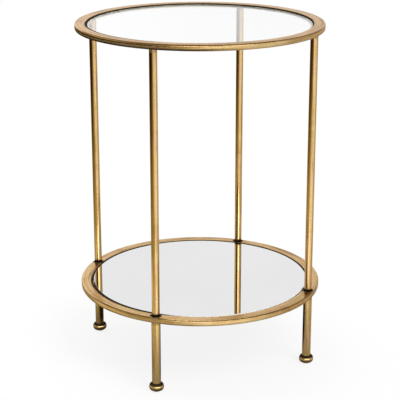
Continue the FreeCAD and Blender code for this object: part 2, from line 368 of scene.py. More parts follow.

# %% [markdown]
# ## Antique gold, part four: two materials
#
# The cloth ran round the rings and up and down the legs, so the streaks do too. Noise
# becomes a streak when one direction of it is stretched. Along a leg that is plain Z.
# Round a ring the long way is a circle, so the distance from the table's middle goes in
# as a fourth, closely spaced dimension while X and Y stay coarse: the streaks then bend
# with the ring and never meet in a seam.
#
# On the rings a dark line lies in the inner corner, next to the pane: wash, and painted
# shade of the gap beside the pane. On one side the painted shade is heavier: there the dark
# line is over three times as wide, and the lower edge of the top ring is dark as well.
# Elsewhere the lower edges get only a little painted shade.
# %% The wash and painted shade along a ring
# The side where the painted shade is heavier, and where along the ring it begins and is full.
SHADED_SIDE = (-0.5, -math.sqrt(0.75), 0.0)
SHADED_SIDE_FROM = 0.7
SHADED_SIDE_FULL = 0.92
THIN_LINE = 0.0016
WIDE_LINE = 0.0056
LINE_DARK = 0.95
RIM_WIDTH = 0.003
RIM_FULL = 0.001
BELOW_RING = 0.001
LEDGE_CLEAN = 0.0004
LINE_BEGINS = 0.0001
LOW_EDGE = 0.0075
LOW_EDGE_FULL = 0.003
LOW_EDGE_LEAST = 0.3


def from_axis(tree, place):
    """The distance of a place from the table's axis, and how far it lies to the side with the
    heavier painted shade, from -1 to 1."""
    flat = vector_node(tree, "MULTIPLY", place, (1.0, 1.0, 0.0))
    way = vector_node(tree, "NORMALIZE", flat)
    return vector_node(tree, "LENGTH", flat), vector_node(tree, "DOT_PRODUCT", way, SHADED_SIDE)


def ring_wash_and_shade(tree, place, from_middle, side):
    """The dark line of wash and painted shade in a ring's inner corner, and the painted
    shade on its lower edge.
    """
    width = fade(tree, side, SHADED_SIDE_FROM, SHADED_SIDE_FULL, THIN_LINE, WIDE_LINE)
    from_inner = minus(tree, from_middle, RING_INNER)
    line = fade(tree, math_node(tree, "DIVIDE", from_inner, width), 0.7, 1.0, LINE_DARK, 0.0)
    on_ring = fade(tree, from_middle, RING_INNER - LEDGE_CLEAN, RING_INNER - LINE_BEGINS)
    # Painted shade on the lower edge of each ring, heavier on the shaded side of the top ring.
    rim = fade(tree, from_middle, RING_RADIUS - RIM_WIDTH, RING_RADIUS - RIM_FULL)
    height_up = height_of(tree, place)
    from_shelf = minus(tree, height_up, shelf_low.z - BELOW_RING)
    from_low = math_node(tree, "MODULO", from_shelf, ring_low.z - shelf_low.z)
    low = times(tree, rim, fade(tree, from_low, LOW_EDGE_FULL, LOW_EDGE, 1.0, 0.0))
    on_top_ring = fade(tree, height_up, ring_low.z - 0.01, ring_low.z - 0.005)
    more = times(tree, on_top_ring, fade(tree, side, 0.3, 0.85, 0.1, 0.65))
    low_edge_shade = times(tree, low, math_node(tree, "ADD", more, LOW_EDGE_LEAST))
    return math_node(tree, "MAXIMUM", times(tree, line, on_ring), low_edge_shade)


# %% Gold for the rings and gold for the legs
STREAK_CLOSE = 900.0
STREAK_LONG = 22.0
FINE_DENT = 0.00001


def gold(name, round_ring, glaze, shine, dull, bright):
    """The leafed finish, streaked round the table on a ring and up and down on a leg."""
    material, tree, shader, place = start_material(name)
    if round_ring:
        stretch = (STREAK_LONG, STREAK_LONG, STREAK_CLOSE)
    else:
        stretch = (STREAK_CLOSE, STREAK_CLOSE, STREAK_LONG)
    from_middle, side = from_axis(tree, place)
    seen = use_group(tree, marks, {
        "Place": place, "Streak place": vector_node(tree, "MULTIPLY", place, stretch),
        "Streak across": times(tree, from_middle, STREAK_CLOSE if round_ring else 0.0)})
    from_leg = use_group(tree, leg_away, {"Place": place})["Distance"]
    # Wash and painted shade at the joins, and on a ring along its inner corner and lower edge.
    wash_and_shade = use_group(tree, wash_shade_group, {"Place": place, "From leg": from_leg})["Wash and shade"]
    if round_ring:
        wash_and_shade = math_node(tree, "MAXIMUM", wash_and_shade,
                             ring_wash_and_shade(tree, place, from_middle, side))
    worn = fade(tree, noise(tree, place, 15.0, roughness=0.6, distortion=0.8), 0.4, 0.62)
    look = use_group(tree, leaf, {
        **{mask: seen[mask] for mask in MASKS}, "Wash and shade": wash_and_shade, "Dull": dull,
        "Bright": bright, "Glaze": fade(tree, worn, 0.0, 1.0, *glaze),
        "Shine": fade(tree, worn, 0.0, 1.0, *shine)})
    fill(tree, shader, {
        "Base Color": look["Colour"], "Roughness": look["Roughness"],
        "Metallic": look["Metal"], "Specular IOR Level": 0.08,
        "Specular Tint": (0.94, 0.86, 0.82), "Normal": bump(tree, look["Height"], FINE_DENT)})
    return material


ring_gold = gold("antique_gold_ring", True, glaze=(0.55, 0.95), shine=(0.6, 0.25),
                 dull=0.32, bright=0.2)
leg_gold = gold("antique_gold_leg", False, glaze=(0.25, 0.6), shine=(0.4, 0.25),
                dull=0.15, bright=0.07)
print("materials", ring_gold.name, leg_gold.name)

# %% [markdown]
# ## Polished gold for the feet
#
# The bun feet are turned solid and polished before they are lacquered, so they are
# shinier than the leafed rings. Painted shade in the wash's brown darkens the top under
# the leg and the base round the glide. Turning leaves rings round each foot, too fine to
# see as colour, which a very small bump gives.
# %% The feet's material
FOOT_LIGHT = (0.88, 0.62, 0.27)
FOOT_DARK = (0.60, 0.39, 0.15)
TURNING_SCALE = 700.0
TOP_SHADE_FROM = 0.0042
TOP_SHADE_FULL = 0.0024
BASE_SHADE_FROM = 0.0036
BASE_SHADE_FULL = 0.0008

foot_low, foot_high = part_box("bun_feet")
foot_gold, tree, shader, place = start_material("polished_gold_foot")
mottle = use_group(tree, marks, {"Place": place, "Streak place": place})["Mottle"]
height_up = height_of(tree, place)
# Painted shade at the top of the foot under the leg, and at its base.
top_painted_shade = fade(tree, height_up, foot_high.z - TOP_SHADE_FROM, foot_high.z - TOP_SHADE_FULL,
                0.0, 0.97)
base_painted_shade = fade(tree, height_up, foot_low.z + BASE_SHADE_FULL, foot_low.z + BASE_SHADE_FROM,
                0.9, 0.0)
wash_and_shade = math_node(tree, "MAXIMUM", top_painted_shade, base_painted_shade)
colour = blend(tree, times(tree, mottle, 0.4), FOOT_LIGHT, FOOT_DARK)
polish = fade(tree, mottle, 0.0, 1.0, 0.1, 0.18)
turned = add(tree, "ShaderNodeTexWave", {"Vector": place, "Scale": TURNING_SCALE},
             bands_direction="Z").outputs["Fac"]
fill(tree, shader, {
    "Base Color": blend(tree, wash_and_shade, colour, WASH_AND_SHADE_BROWN),
    "Metallic": minus(tree, 1.0, wash_and_shade),
    "Roughness": math_node(tree, "ADD", polish, times(tree, wash_and_shade, WASH_ROUGH)),
    "Specular IOR Level": 0.05, "Normal": bump(tree, turned, FINE_DENT)})
print("material", foot_gold.name)

# %% [markdown]
# ## Clear glass, its ground edge, and the mirror
#
# The top is clear toughened glass. Its faces are smooth apart from the faint smears of
# wiping, which a little roughness shows. The ground edge is a different surface: matt,
# greener and darker, because light that enters it travels far through the glass. Lamps
# must reach through the top to the shelf, so for shadow rays the glass turns into plain
# clear film.
#
# The mirror is the same glass with silver and grey paint on its underside. Nearly all
# light comes back from the silver, so a metal with no roughness stands for both, and the
# smears lie over it as a thin coat. Its bevel is ground pale, except on the side where the
# ring's painted shade is heavier: there painted shade in the wash's brown covers its outer
# part.
# %% Smears that glass and mirror share
smears, ask, give = start_group("wiping_smears", "ShaderNodeTree",
                                {"Place": ORIGIN, "Least": 0.006, "Most": 0.03},
                                {"Smear": float})
broad = noise(smears, ask["Place"], 9.0, detail=4.0, roughness=0.6, distortion=1.2)
spots = add(smears, "ShaderNodeTexVoronoi", {"Vector": ask["Place"], "Scale": 60.0},
            feature="SMOOTH_F1").outputs["Distance"]
both = times(smears, fade(smears, broad, 0.42, 0.75), spots)
fill(smears, give, {"Smear": fade(smears, both, 0.0, 1.0, ask["Least"], ask["Most"], "LINEAR")})

# %% The glass faces
glass_face, tree, shader, place = start_material("clear_glass_face")
smear = use_group(tree, smears, {"Place": place})["Smear"]
fill(tree, shader, {"Base Color": (0.99, 1.0, 0.995), "Transmission Weight": 1.0, "IOR": 1.5,
                    "Roughness": smear})
clear = add(tree, "ShaderNodeBsdfTransparent", {"Color": (0.93, 0.95, 0.94)})
rays = add(tree, "ShaderNodeLightPath").outputs
through = add(tree, "ShaderNodeMixShader", {
    0: rays["Is Shadow Ray"], 1: shader.outputs["BSDF"], 2: clear.outputs["BSDF"]})
fill(tree, tree.nodes["Material Output"], {"Surface": through.outputs[0]})

# %% The ground edge
GRIND_DENT = 0.00004

glass_edge, tree, shader, place = start_material("ground_glass_edge")
grind = noise(tree, place, 2600.0)
fill(tree, shader, {
    "Base Color": blend(tree, fade(tree, grind, 0.3, 0.7), (0.62, 0.70, 0.66),
                        (0.80, 0.86, 0.83)),
    "Roughness": fade(tree, grind, 0.3, 0.7, 0.28, 0.42),
    "Normal": bump(tree, grind, GRIND_DENT)})

# %% The mirror's edge, painted over with its back
mirror_edge, tree, shader, place = start_material("painted_mirror_edge")
grind = noise(tree, place, 2200.0)
fill(tree, shader, {
    "Base Color": blend(tree, grind, (0.012, 0.010, 0.009), (0.035, 0.030, 0.026)),
    "Roughness": fade(tree, grind, 0.3, 0.7, 0.45, 0.6),
    "Normal": bump(tree, grind, GRIND_DENT)})

# %% The mirror's bevel, ground pale
MIRROR_BEVEL = 0.0011
BEVEL_SHADE_FULL = 0.0008
SHALLOW_DENT = 0.00002

mirror_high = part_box("shelf_mirror")[1]
bevel, tree, shader, place = start_material("ground_mirror_bevel")
grind = noise(tree, place, 2200.0)
ground = blend(tree, grind, (0.90, 0.91, 0.90), (0.97, 0.97, 0.96))
from_middle, side = from_axis(tree, place)
on_bevel = fade(tree, from_middle, mirror_high.x - MIRROR_BEVEL, mirror_high.x - BEVEL_SHADE_FULL)
# Painted shade on the outer part of the bevel, on the side where the ring's shade is heavier.
bevel_painted_shade = times(tree, fade(tree, side, SHADED_SIDE_FROM, SHADED_SIDE_FULL), on_bevel)
fill(tree, shader, {
    "Base Color": blend(tree, bevel_painted_shade, ground, WASH_AND_SHADE_BROWN),
    "Roughness": fade(tree, grind, 0.3, 0.7, 0.3, 0.45),
    "Normal": bump(tree, grind, SHALLOW_DENT)})

# %% Silvering and backing paint
mirror_face, tree, shader, place = start_material("silvered_mirror")
cloud = fade(tree, noise(tree, place, 6.0), 0.3, 0.7)
smear = use_group(tree, smears, {"Place": place, "Least": 0.0, "Most": 0.5})["Smear"]
fill(tree, shader, {
    "Base Color": blend(tree, cloud, grey(0.85), grey(0.87)), "Metallic": 1.0,
    "Roughness": 0.0, "Coat Weight": smear, "Coat Roughness": 0.15})

mirror_back, tree, shader, place = start_material("grey_backing_paint")
cloud = noise(tree, place, 14.0, detail=5.0, roughness=0.65, distortion=0.8)
cloud = fade(tree, cloud, 0.3, 0.7)
fill(tree, shader, {
    "Base Color": blend(tree, cloud, (0.20, 0.21, 0.23), (0.26, 0.27, 0.29)),
    "Roughness": fade(tree, cloud, 0.0, 1.0, 0.48, 0.6),
    "Normal": bump(tree, noise(tree, place, 900.0, detail=2.0), 0.00005)})
for made in (glass_face, glass_edge, mirror_edge, bevel, mirror_face, mirror_back):
    print("material", made.name)

# %% [markdown]
# ## The small hardware
#
# Studs, nuts, sleeves and lower plugs are zinc-plated steel. Fresh zinc has a faint
# crystal pattern and a bluish and yellowish cast in turn, which cells of Voronoi noise
# give. The dots under the panes are clear soft plastic, and the glides are black rubber
# with a fine grain. Most of this never shows, unless the table is taken apart.
# %% Zinc, clear plastic and rubber
zinc, tree, shader, place = start_material("zinc_plated_steel")
crystal = add(tree, "ShaderNodeTexVoronoi", {"Vector": place, "Scale": 650.0}).outputs["Color"]
crystal = add(tree, "ShaderNodeSeparateColor", {0: crystal}).outputs[0]
fill(tree, shader, {
    "Base Color": blend(tree, crystal, (0.52, 0.54, 0.57), (0.63, 0.62, 0.57)),
    "Roughness": fade(tree, crystal, 0.0, 1.0, 0.26, 0.4), "Metallic": 1.0,
    "Normal": bump(tree, noise(tree, place, 1500.0), SHALLOW_DENT)})

clear_dot, tree, shader, place = start_material("clear_soft_plastic")
haze = noise(tree, place, 700.0)
fill(tree, shader, {
    "Base Color": blend(tree, haze, (0.80, 0.83, 0.82), (0.90, 0.92, 0.91)),
    "Roughness": fade(tree, haze, 0.2, 0.8, 0.18, 0.35), "Transmission Weight": 0.8,
    "IOR": 1.45})

rubber, tree, shader, place = start_material("black_rubber")
grain = noise(tree, place, 1800.0, detail=4.0, roughness=0.7)
fill(tree, shader, {
    "Base Color": blend(tree, grain, grey(0.016), (0.05, 0.048, 0.046)),
    "Roughness": fade(tree, grain, 0.2, 0.8, 0.6, 0.85),
    "Normal": bump(tree, grain, 0.0001)})
print("materials in all", len(bpy.data.materials))

# %% [markdown]
# ## A band rolled into a ring
#
# The rings, the ledges inside them and the round tubes are all one thing to a modeller:
# a closed section carried round a circle. For the rings the section is the tube's rounded
# rectangle. For a leg it is the tall thin rectangle of the tube's wall, and the circle is
# small. Sweeping by hand would do for one ring. A Geometry Nodes tree with named sizes
# makes all of them, and each stays easy to change.
# %% Steps that both trees share
CRISP = math.radians(40)


def shade(tree, shape):
    """Shades a shape smooth, and marks every edge sharper than CRISP as a sharp one."""
    soft = add(tree, "GeometryNodeSetShadeSmooth", {"Geometry": shape}).outputs[0]
    bend = add(tree, "GeometryNodeInputMeshEdgeAngle").outputs["Unsigned Angle"]
    crisp = add(tree, "FunctionNodeCompare", {"A": bend, "B": CRISP}, data_type="FLOAT",
                operation="GREATER_THAN").outputs["Result"]
    return add(tree, "GeometryNodeSetShadeSmooth",
               {"Geometry": soft, "Selection": crisp, "Shade Smooth": False},
               domain="EDGE").outputs[0]


def carry_round(tree, section, steps, radius):
    """Carries a section round a circle, upright all the way."""
    circle = add(tree, "GeometryNodeCurvePrimitiveCircle",
                 {"Resolution": steps, "Radius": radius}).outputs["Curve"]
    path = add(tree, "GeometryNodeSetCurveNormal", {"Curve": circle}, mode="Z_UP").outputs[0]
    return add(tree, "GeometryNodeCurveToMesh",
               {"Curve": path, "Profile Curve": section}).outputs[0]


def give_out(tree, give, shape, material):
    """Makes a shape real, gives it its material and sends it out of the tree."""
    real = add(tree, "GeometryNodeRealizeInstances", {"Geometry": shape}).outputs[0]
    painted = add(tree, "GeometryNodeSetMaterial",
                  {"Geometry": real, "Material": material}).outputs[0]
    fill(tree, give, {"Shape": painted})
    print("tree", tree.name, len(tree.nodes), "nodes")


# %% The rolled band tree
band, ask, give = start_group("rolled_band", "GeometryNodeTree",
                              {"Shape": "shape", "Middle radius": 0.2, "Width": 0.02,
                               "Height": 0.01, "Corner radius": 0.002, "Corner steps": 6,
                               "Steps round": 192, "Place": ORIGIN, "Material": "material"},
                              {"Shape": "shape"})
section = add(band, "GeometryNodeCurvePrimitiveQuadrilateral",
              {"Width": ask["Width"], "Height": ask["Height"]}).outputs[0]
section = add(band, "GeometryNodeFilletCurve",
              {"Curve": section, "Count": ask["Corner steps"], "Radius": ask["Corner radius"]},
              mode="POLY").outputs[0]
swept = carry_round(band, section, ask["Steps round"], ask["Middle radius"])
placed = add(band, "GeometryNodeTransform",
             {"Geometry": shade(band, swept), "Translation": ask["Place"]}).outputs[0]
give_out(band, give, placed, ask["Material"])

# %% [markdown]
# ## From a tree to a plain mesh
#
# A tree alone is not yet a piece. Applying the modifier by hand would freeze it, one piece
# at a time. The helper below does the same for every piece: it sets the tree's sizes by
# their sockets, evens out the shading, keeps the result as a mesh, puts it on its body and
# hides the pieces of the engineering model that it stands for. It also checks that the
# faces point outwards.
# %% Run a tree and keep what it makes
def signed_volume(mesh):
    """The mesh's volume, which is negative where its faces point inwards."""
    mesh.calc_loop_triangles()
    total = 0.0
    for triangle in mesh.loop_triangles:
        a, b, c = (mesh.vertices[i].co for i in triangle.vertices)
        total += a.dot(b.cross(c)) / 6
    return total


def make(name, tree, body, slot, nodes, mesh=None, **sizes):
    """Runs a Geometry Nodes tree with these sizes, keeps the result as a plain mesh, and
    puts the piece on its body in place of its nodes."""
    piece = new_object(name, mesh or bpy.data.meshes.new(name))
    modifier = piece.modifiers.new(name, "NODES")
    modifier.node_group = tree
    asked = {label.replace("_", " "): value for label, value in sizes.items()}
    for item in tree.interface.items_tree:
        if item.in_out == "INPUT" and item.name in asked:
            modifier[item.identifier] = asked.pop(item.name)
    assert not asked, asked
    level = piece.modifiers.new("even shading", "WEIGHTED_NORMAL")
    level.keep_sharp = True
    shaped = piece.evaluated_get(bpy.context.evaluated_depsgraph_get())
    kept = bpy.data.meshes.new_from_object(shaped)
    volume = signed_volume(kept)
    assert volume > 0, "the faces of %s point inwards" % name
    kept.materials.clear()
    kept.materials.append(sizes["Material"])
    kept.polygons.foreach_set("material_index", [0] * len(kept.polygons))
    piece.modifiers.clear()
    piece.data = kept
    kept.name = name
    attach(piece, body)
    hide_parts(*nodes)
    print("%-24s %6d faces %9.1f mm3" % (name, len(kept.polygons), volume * 1e9))
    return piece


# %% [markdown]
# ## The two rings and their ledges
#
# Each ring is a rectangular tube, 20 by 10 mm, rolled into a hoop with its wide sides up
# and down, and welded shut. Its outer corners are round, as on all cold-rolled tube.
# Inside it a narrow strip is welded as a ledge, on which the pane lies on clear dots.
# %% Roll the rings and ledges
LEDGE_WIDTH = 0.0045

for name, node, low, high in (("ring_top", "top_ring", ring_low, ring_high),
                              ("ring_shelf", "shelf_ring", shelf_low, shelf_high)):
    make(name, band, "frame", "antique_gold", [node],
         Middle_radius=RING_RADIUS - RING_WIDTH / 2, Width=RING_WIDTH, Height=RING_HEIGHT,
         Corner_radius=RING_CORNER, Corner_steps=8, Steps_round=256,
         Place=(0.0, 0.0, (low.z + high.z) / 2), Material=ring_gold)
for name, node in (("ledge_top", "top_glass_ledge"), ("ledge_shelf", "shelf_mirror_ledge")):
    low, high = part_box(node)
    make(name, band, "frame", "antique_gold", [node],
         Middle_radius=RING_INNER - LEDGE_WIDTH / 2, Width=LEDGE_WIDTH, Height=high.z - low.z,
         Corner_radius=0.0003, Corner_steps=3, Steps_round=192,
         Place=(0.0, 0.0, (low.z + high.z) / 2), Material=ring_gold)

# %% [markdown]
# ## The legs
#
# Eight round tubes, four long and four short. A tube is the rolled band again: its wall
# is the section, and its cut ends are square with the sharpness just taken off.
# %% Cut the legs
for tier, radius in (("upper", UPPER_LEG_RADIUS), ("lower", LOWER_LEG_RADIUS)):
    for station, (x, y) in STATIONS.items():
        node = "%s_leg_%s" % (tier, station)
        low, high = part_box(node)
        make("leg_%s_%s" % (tier, station), band, "frame", "antique_gold", [node],
             Middle_radius=radius - LEG_WALL / 2, Width=LEG_WALL, Height=high.z - low.z,
             Corner_radius=0.00025, Corner_steps=3, Steps_round=64,
             Place=(x * LEG_CIRCLE, y * LEG_CIRCLE, (low.z + high.z) / 2), Material=leg_gold)

# %% [markdown]
# ## Turned pieces
#
# Plugs and bun feet come off a lathe, and glides and panes are as round. In Blender the
# Screw modifier or Spin would turn a profile too, but the four of a kind would still have
# to be copied to their places. This tree does both: it carries a half profile round a
# small circle, closes the poles, and sets the piece at equal steps round the table.
# %% The lathe tree
LATHE_RADIUS = 0.001

lathe, ask, give = start_group("lathe", "GeometryNodeTree",
                               {"Profile": "shape", "Steps round": 64, "Pieces": 4,
                                "Circle radius": 0.2, "Material": "material"},
                               {"Shape": "shape"})
inward = add(lathe, "GeometryNodeTransform",
             {"Geometry": ask["Profile"], "Translation": (-LATHE_RADIUS, 0.0, 0.0)}).outputs[0]
profile = add(lathe, "GeometryNodeMeshToCurve", {"Mesh": inward}).outputs[0]
swept = carry_round(lathe, profile, ask["Steps round"], LATHE_RADIUS)
closed = add(lathe, "GeometryNodeMergeByDistance",
             {"Geometry": swept, "Distance": 1e-6}).outputs[0]
outward = add(lathe, "GeometryNodeFlipFaces", {"Mesh": closed}).outputs[0]
number = add(lathe, "GeometryNodeInputIndex").outputs[0]
turn = math_node(lathe, "DIVIDE", times(lathe, number, 2 * math.pi), ask["Pieces"])
spot = add(lathe, "ShaderNodeCombineXYZ", {
    "X": times(lathe, math_node(lathe, "COSINE", turn), ask["Circle radius"]),
    "Y": times(lathe, math_node(lathe, "SINE", turn), ask["Circle radius"])})
spots = add(lathe, "GeometryNodePoints",
            {"Count": ask["Pieces"], "Position": spot.outputs[0]}).outputs[0]
copies = add(lathe, "GeometryNodeInstanceOnPoints",
             {"Points": spots, "Instance": shade(lathe, outward)}).outputs[0]
give_out(lathe, give, copies, ask["Material"])

# %% [markdown]
# ## The profiles that are turned
#
# A half profile is what a turner cuts along: a line of points, each a distance from the
# axis and a height. Drawing it by hand would do, but written down it follows the sizes of
# the engineering model, and its round parts are as fine as they need to be.
# %% Draw a half profile, and turn it for all four legs
def arc(middle, half_width, half_height, start, end, steps):
    """Points on part of an ellipse, from one angle to the other, in degrees."""
    angles = [math.radians(start + (end - start) * step / steps) for step in range(steps + 1)]
    return [(middle[0] + half_width * math.cos(angle),
             middle[1] + half_height * math.sin(angle)) for angle in angles]


def draw_profile(name, points, closed=False):
    """A line of edges through the points, each a distance from the axis and a height. The
    lathe carries a profile round with its Y axis pointing down, so the height goes in
    there with its sign turned."""
    mesh = bpy.data.meshes.new(name)
    edges = [(i, i + 1) for i in range(len(points) - 1)]
    if closed:
        edges.append((len(points) - 1, 0))
    mesh.from_pydata([(x, -z, 0.0) for x, z in points], edges, [])
    return mesh


def turn_four(name, slot, node, points, steps, material, closed=False):
    """Turns a profile, and sets the piece at each of the four legs."""
    make(name, lathe, "frame", slot, [node], draw_profile(name, points, closed),
         Steps_round=steps, Pieces=4, Circle_radius=LEG_CIRCLE, Material=material)


# %% [markdown]
# ## The plug heads
#
# A turned plug closes each end of a leg where it meets a ring. Only its head shows, as a
# low collar of the leg's own width. Its rim is rounded, which leaves a fine dark groove
# between leg and ring. The shank inside the tube holds the stud.
# %% Turn the plugs
HEAD_HEIGHT = 0.0035
HEAD_ROUND = 0.0012
STUD_HOLE = 0.00305
SHANK_GAP = 0.00125


def plug_profile(radius, face, way, length):
    """A plug whose head lies against the ring's face. way is 1 where the head is above."""
    root = face - way * HEAD_HEIGHT
    shank = radius - SHANK_GAP
    rim = [(x, face + way * z) for x, z in arc((radius - HEAD_ROUND, -HEAD_ROUND), HEAD_ROUND,
                                               HEAD_ROUND, 0, 90, 6)]
    return [(STUD_HOLE, root - way * length), (shank, root - way * length), (shank, root),
            (radius, root)] + rim + [(STUD_HOLE, face)]


for name, node, radius, way in (
        ("plugs_upper_top", "upper_leg_top_plugs", UPPER_LEG_RADIUS, 1),
        ("plugs_upper_bottom", "upper_leg_bottom_plugs", UPPER_LEG_RADIUS, -1),
        ("plugs_lower_top", "lower_leg_top_plugs", LOWER_LEG_RADIUS, 1)):
    low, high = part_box(node)
    face = high.z if way == 1 else low.z
    points = plug_profile(radius, face, way, high.z - low.z - HEAD_HEIGHT)
    if way == -1:
        points.reverse()
    turn_four(name, "antique_gold", node, points, 64, leg_gold, closed=True)

# %% [markdown]
# ## The bun feet and their glides
#
# A bun foot is a ball pressed flat: wide at the waist, and narrow where the leg meets it
# and where it stands. A rubber glide sits in a recess underneath, and stands proud by a
# millimetre and a half so that no metal touches the floor.
# %% Turn the feet and glides
glide_low, glide_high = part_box("foot_glides")
FOOT_WAIST = foot_high.x - LEG_CIRCLE
FOOT_BASE = 0.0075
STUD_RADIUS = 0.003
GLIDE_RADIUS = glide_high.x - LEG_CIRCLE
GLIDE_ROUND = 0.0006
RECESS = GLIDE_RADIUS + 0.00005
waist_height = (foot_low.z + foot_high.z) / 2
half_height = (foot_high.z - foot_low.z) / 2
foot = [(0.0, glide_high.z), (RECESS, glide_high.z), (RECESS, foot_low.z)]
foot += arc((FOOT_BASE, waist_height), FOOT_WAIST - FOOT_BASE, half_height, -90, 90, 28)
foot += [(STUD_RADIUS, foot_high.z), (0.0, foot_high.z)]
turn_four("feet_bun", "polished_gold", "bun_feet", foot, 72, foot_gold)

glide = [(0.0, glide_low.z), (GLIDE_RADIUS - GLIDE_ROUND, glide_low.z)]
glide += arc((GLIDE_RADIUS - GLIDE_ROUND, GLIDE_ROUND), GLIDE_ROUND, GLIDE_ROUND, -90, 0, 4)[1:]
glide += [(GLIDE_RADIUS, glide_high.z), (0.0, glide_high.z)]
turn_four("glides", "glide_rubber", "foot_glides", glide, 48, rubber)

# %% [markdown]
# ## The two panes
#
# A pane is a flat disc whose rim is ground: a small arris above and below and a matt band
# between. Face, rim, back and bevel are finishes on one piece, so after turning, each
# face of the mesh is given its material by which way it looks.
# %% Turn the glass and the mirror
GLASS_ARRIS = 0.0006
UPRIGHT = 0.3
FLAT = 0.9


def pane(name, node, body, slot, arris, upper, edge, lower, slope):
    """A disc with an arris above and below, and its four finishes."""
    low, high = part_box(node)
    radius = high.x
    points = [(0.0, low.z), (radius - arris, low.z), (radius, low.z + arris),
              (radius, high.z - arris), (radius - arris, high.z), (0.0, high.z)]
    disc = make(name, lathe, body, slot, [node], draw_profile(name, points), Steps_round=256,
                Pieces=1, Circle_radius=0.0, Material=upper)
    disc.data.materials.clear()
    for material in (upper, edge, lower, slope):
        disc.data.materials.append(material)
    for face in disc.data.polygons:
        if abs(face.normal.z) < UPRIGHT:
            face.material_index = 1
        elif abs(face.normal.z) < FLAT:
            face.material_index = 3
        elif face.normal.z < 0:
            face.material_index = 2


pane("pane_glass", "top_glass", "glass", "clear_glass", GLASS_ARRIS, glass_face, glass_edge,
     glass_face, glass_edge)
pane("pane_mirror", "shelf_mirror", "mirror", "mirror", MIRROR_BEVEL, mirror_face, mirror_edge,
     mirror_back, bevel)

# %% [markdown]
# ## The hardware that keeps its engineering shape
#
# Studs, nuts, sleeves, lower plugs and dots have the right shape already: they get their
# finish and nothing more.
# %% Finish the hardware
HARDWARE = {"top_ring_nuts": zinc, "shelf_ring_sleeves": zinc, "top_ring_studs": zinc,
            "shelf_ring_studs": zinc, "foot_studs": zinc, "lower_leg_bottom_plugs": zinc,
            "top_glass_dots": clear_dot, "shelf_mirror_dots": clear_dot}
for node, material in HARDWARE.items():
    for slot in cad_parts[node].material_slots:
        slot.material = material
print("finished", len(HARDWARE), "nodes")

# %% [markdown]
# ## The studio
#
# The table stands on a wide white sheet. Two broad lamps like large soft boxes light it,
# the stronger one from the right, and the room gives the rest. The camera itself sees the
# sheet and the room as plain white, with the table's shadow kept on the sheet.
# %% Lay the sheet
HALF_SHEET = 20.0

sheet_mesh = bpy.data.meshes.new("floor_sheet")
sheet_mesh.from_pydata([(x * HALF_SHEET, y * HALF_SHEET, 0.0)
                        for x, y in ((-1, -1), (1, -1), (1, 1), (-1, 1))], [], [(0, 1, 2, 3)])
sheet = new_object("floor_sheet", sheet_mesh)

# %% [markdown]
# ## What the metal shows of the sheet
#
# Metal is only as good as what it has to show. An upright tube seen from above shows the
# sheet: each height on the tube a place further out, and each line down the tube another
# direction. A sheet that is white all over would make the legs flat. So the sheet's colour
# for metal is painted with light and shade: bright on the right, dark on the left, with a
# painted shadow of the table underneath and round each foot. Three painted spots of light
# and one painted shaded corner give single legs a line of their own.
# %% Paint the light and shade that metal sees on the sheet
# Painted light across the sheet, seen only by metal: dark on the left, bright on the right.
PAINTED_FLOOR_LIGHT = [
    (-2.4, (0.02, 0.008, 0.001)), (-1.7, (0.07, 0.043, 0.008)), (-1.2, (0.18, 0.14, 0.05)),
    (-0.7, (0.31, 0.265, 0.13)), (-0.4, (0.42, 0.385, 0.25)), (-0.15, (0.52, 0.51, 0.42)),
    (0.15, (0.78, 0.79, 0.80)), (0.6, (0.80, 0.83, 0.88)), (1.2, (0.76, 0.80, 0.86)),
    (2.4, (0.70, 0.74, 0.80))]
SHADED_CORNER = (0.44, 0.38, 0.28)
TABLE_SHADE = (0.05, 0.03, 0.01)


def away_from(tree, place, right, front):
    """The distance from a spot, given by how far it lies to the right and to the front."""
    spot = tuple(right * r + front * f for r, f in zip(RIGHT, FRONT))
    return vector_node(tree, "DISTANCE", place, spot)


paper, tree, shader, place = start_material("studio_paper")
sheet_mesh.materials.append(paper)
far = vector_node(tree, "LENGTH", place)
rightward = vector_node(tree, "DOT_PRODUCT", place, RIGHT)
forward = vector_node(tree, "DOT_PRODUCT", place, FRONT)
painted_light_in_metal = ramp(tree, rightward, PAINTED_FLOOR_LIGHT)
# Three painted spots of light on the sheet.
for right, front, reach, share, colour in ((0.14, 0.48, 0.24, 0.9, (0.98, 1.0, 1.0)),
                                           (0.16, 0.74, 0.24, 0.8, (1.3, 1.3, 1.2)),
                                           (-0.5, 0.12, 0.26, 0.8, (0.74, 0.67, 0.50))):
    lit = fade(tree, away_from(tree, place, right, front), 0.1, reach, share, 0.0)
    painted_light_in_metal = blend(tree, lit, painted_light_in_metal, colour)
# A painted shaded patch to the right of the table, close in front of it.
shaded_corner_share = times(tree, fade(tree, rightward, 0.22, 0.36), fade(tree, forward, 0.24, 0.5, 0.9, 0.0))
painted_light_in_metal = blend(tree, shaded_corner_share, painted_light_in_metal, SHADED_CORNER)
# Painted shadow of the table underneath it, round each foot, and fainter near it.
from_foot = use_group(tree, leg_away, {"Place": place})["Distance"]
open_sheet = times(tree, fade(tree, away_from(tree, place, -0.03, 0.0), 0.1, 0.18),
                   fade(tree, from_foot, 0.014, 0.034, 0.03, 1.0))
painted_light_in_metal = blend(tree, open_sheet, TABLE_SHADE, painted_light_in_metal)
painted_light_in_metal = blend(tree, fade(tree, far, 0.3, 0.55, 0.3, 0.0), painted_light_in_metal, TABLE_SHADE)

# %% Say how bright the sheet is
WHITE = grey(1.0)
GLOW_IN_METAL = 1.4

rays = add(tree, "ShaderNodeLightPath").outputs
fill(tree, shader, {"Base Color": blend(tree, rays["Is Glossy Ray"], grey(0.95), painted_light_in_metal),
                    "Roughness": 0.9, "Specular IOR Level": 0.0})
seen_plain = math_node(tree, "MAXIMUM", rays["Is Camera Ray"], rays["Is Transmission Ray"])
